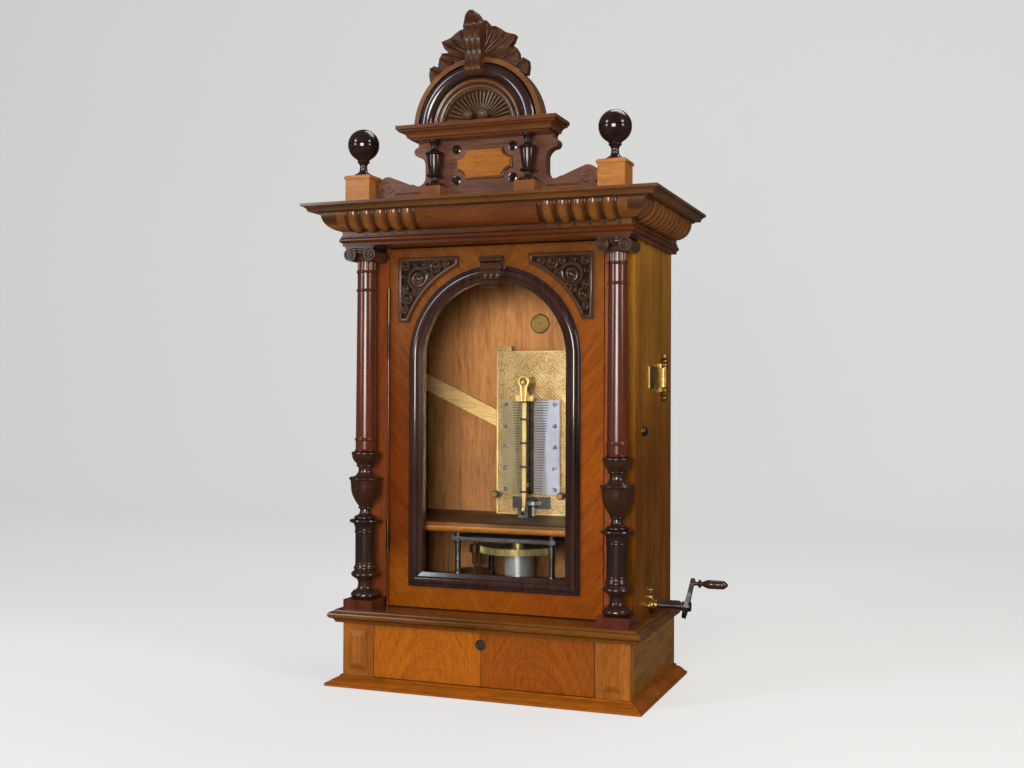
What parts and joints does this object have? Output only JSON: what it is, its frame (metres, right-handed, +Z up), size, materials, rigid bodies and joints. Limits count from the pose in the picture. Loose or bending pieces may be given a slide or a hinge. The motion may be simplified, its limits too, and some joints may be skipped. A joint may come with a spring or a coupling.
{
  "type": "upright disc music box",
  "caption": "Tall glazed cabinet with turned columns, carved cornice and gallery, holding a two-comb disc movement, a hand-wound spring motor and a coin drawer.",
  "frame": {"origin": "middle of the plinth's underside, where the cabinet rests", "axes": "+Z up, front of the cabinet towards -Y, crank side towards +X"},
  "size_m": [0.6655, 0.346, 1.0835],
  "materials": {
    "walnut": "French-polished walnut",
    "dark_walnut": "dark polished walnut",
    "ebonised_wood": "black-brown stained, polished turnings and carving",
    "oak": "plain oak, thin varnish",
    "glass": "clear window glass",
    "brass": "polished brass, a little dull",
    "gilt_iron": "gold bronze paint on cast iron",
    "steel": "bright ground steel",
    "dark_iron": "blackened iron and steel"
  },
  "bodies": {
    "cabinet": {"plinth_moulding": "walnut", "base_stiles": "walnut", "waist_board": "walnut", "case_sides": "walnut", "corner_posts": "walnut", "bed_moulding": "walnut", "crown_moulding": "walnut", "pedestals": "walnut", "gallery_board": "walnut", "gallery_plaque": "walnut", "case_back": "dark_walnut", "movement_shelf": "dark_walnut", "gadroon_frieze": "dark_walnut", "gallery_cornice": "dark_walnut", "columns": "ebonised_wood", "capitals": "ebonised_wood", "finials": "ebonised_wood", "plaque_buttons": "ebonised_wood", "balusters": "ebonised_wood", "pediment_arch": "ebonised_wood", "shell": "ebonised_wood", "leaf_crest": "ebonised_wood", "pediment_console": "ebonised_wood", "base_boards": "oak", "coin_chute": "oak", "case_hinge_leaves": "brass", "star_bearings": "brass", "guide_studs": "brass", "case_brass": "brass", "bedplate": "gilt_iron", "combs": "steel", "disc_spindle": "steel", "motor_pillars": "steel", "bed_posts": "dark_iron", "comb_screws": "dark_iron", "bar_hinge_block": "dark_iron", "drive_bracket": "dark_iron", "motor_plates": "dark_iron"},
    "door": {"door_frame": "walnut", "door_head": "walnut", "arch_moulding": "ebonised_wood", "door_glass": "glass", "spandrels": "ebonised_wood", "door_keystone": "ebonised_wood", "door_hinge_leaves": "brass"},
    "drawer": {"drawer_front": "walnut", "drawer_box": "oak", "drawer_lock": "dark_iron"},
    "star_wheels": {"star_wheels": "dark_iron"},
    "pressure_bar": {"pressure_bar": "gilt_iron"},
    "bar_rollers": {"bar_rollers": "dark_iron"},
    "guide_roller_left": {"guide_roller_left": "dark_iron"},
    "guide_roller_right": {"guide_roller_right": "dark_iron"},
    "great_wheel": {"great_wheel": "brass"},
    "drive_shaft": {"drive_shaft": "steel"},
    "second_wheel": {"second_wheel": "brass"},
    "governor_fan": {"governor_fan": "brass"},
    "barrel_arbor": {"barrel_arbor": "steel"},
    "winding_crank": {"winding_crank": "dark_iron"},
    "crank_grip": {"crank_grip": "dark_walnut"}
  },
  "joints": [
    {"name": "door_hinge", "type": "hinge", "parent": "cabinet", "child": "door", "pos_m": [-0.18825, -0.086, 0.42], "axis": [0, 0, -1], "range_deg": [0, 80]},
    {"name": "drawer_slide", "type": "slide", "parent": "cabinet", "child": "drawer", "axis": [0, -1, 0], "range_m": [0, 0.18]},
    {"name": "crank_turn", "type": "hinge", "parent": "cabinet", "child": "winding_crank", "pos_m": [0.27, 0.0196, 0.139], "axis": [1, 0, 0], "continuous": true},
    {"name": "grip_spin", "type": "hinge", "parent": "winding_crank", "child": "crank_grip", "pos_m": [0.33, 0.0196, 0.177], "axis": [1, 0, 0], "continuous": true},
    {"name": "arbor_turn", "type": "hinge", "parent": "cabinet", "child": "barrel_arbor", "pos_m": [0.007, 0.0196, 0.2], "axis": [0, 0, 1], "continuous": true},
    {"name": "great_wheel_turn", "type": "hinge", "parent": "cabinet", "child": "great_wheel", "pos_m": [0.007, 0.0196, 0.2195], "axis": [0, 0, 1], "continuous": true},
    {"name": "drive_shaft_turn", "type": "hinge", "parent": "cabinet", "child": "drive_shaft", "pos_m": [0.007, 0.094, 0.2195], "axis": [0, 0, 1], "continuous": true},
    {"name": "second_wheel_turn", "type": "hinge", "parent": "cabinet", "child": "second_wheel", "pos_m": [-0.06043, -0.01184, 0.2], "axis": [0, 0, 1], "continuous": true},
    {"name": "fan_turn", "type": "hinge", "parent": "cabinet", "child": "governor_fan", "pos_m": [-0.06703, 0.02558, 0.2], "axis": [0, 0, 1], "continuous": true},
    {"name": "star_turn", "type": "hinge", "parent": "cabinet", "child": "star_wheels", "pos_m": [0, 0.094, 0.389], "axis": [0, 0, 1], "continuous": true},
    {"name": "pressure_bar_hinge", "type": "hinge", "parent": "cabinet", "child": "pressure_bar", "pos_m": [0, 0.0672, 0.281], "axis": [1, 0, 0], "range_deg": [0, 30]},
    {"name": "bar_roller_spin", "type": "hinge", "parent": "pressure_bar", "child": "bar_rollers", "pos_m": [0, 0.0775, 0.4], "axis": [0, 0, 1], "continuous": true},
    {"name": "guide_left_spin", "type": "hinge", "parent": "cabinet", "child": "guide_roller_left", "pos_m": [-0.061, 0.085, 0.305], "axis": [0, 1, 0], "continuous": true},
    {"name": "guide_right_spin", "type": "hinge", "parent": "cabinet", "child": "guide_roller_right", "pos_m": [0.061, 0.085, 0.305], "axis": [0, 1, 0], "continuous": true}
  ],
  "couplings": [
    {"joint": "arbor_turn", "follows": "crank_turn", "ratio": -0.28571},
    {"joint": "drive_shaft_turn", "follows": "great_wheel_turn", "ratio": -6.75},
    {"joint": "second_wheel_turn", "follows": "great_wheel_turn", "ratio": -6.75},
    {"joint": "fan_turn", "follows": "great_wheel_turn", "ratio": 25.312}
  ]
}
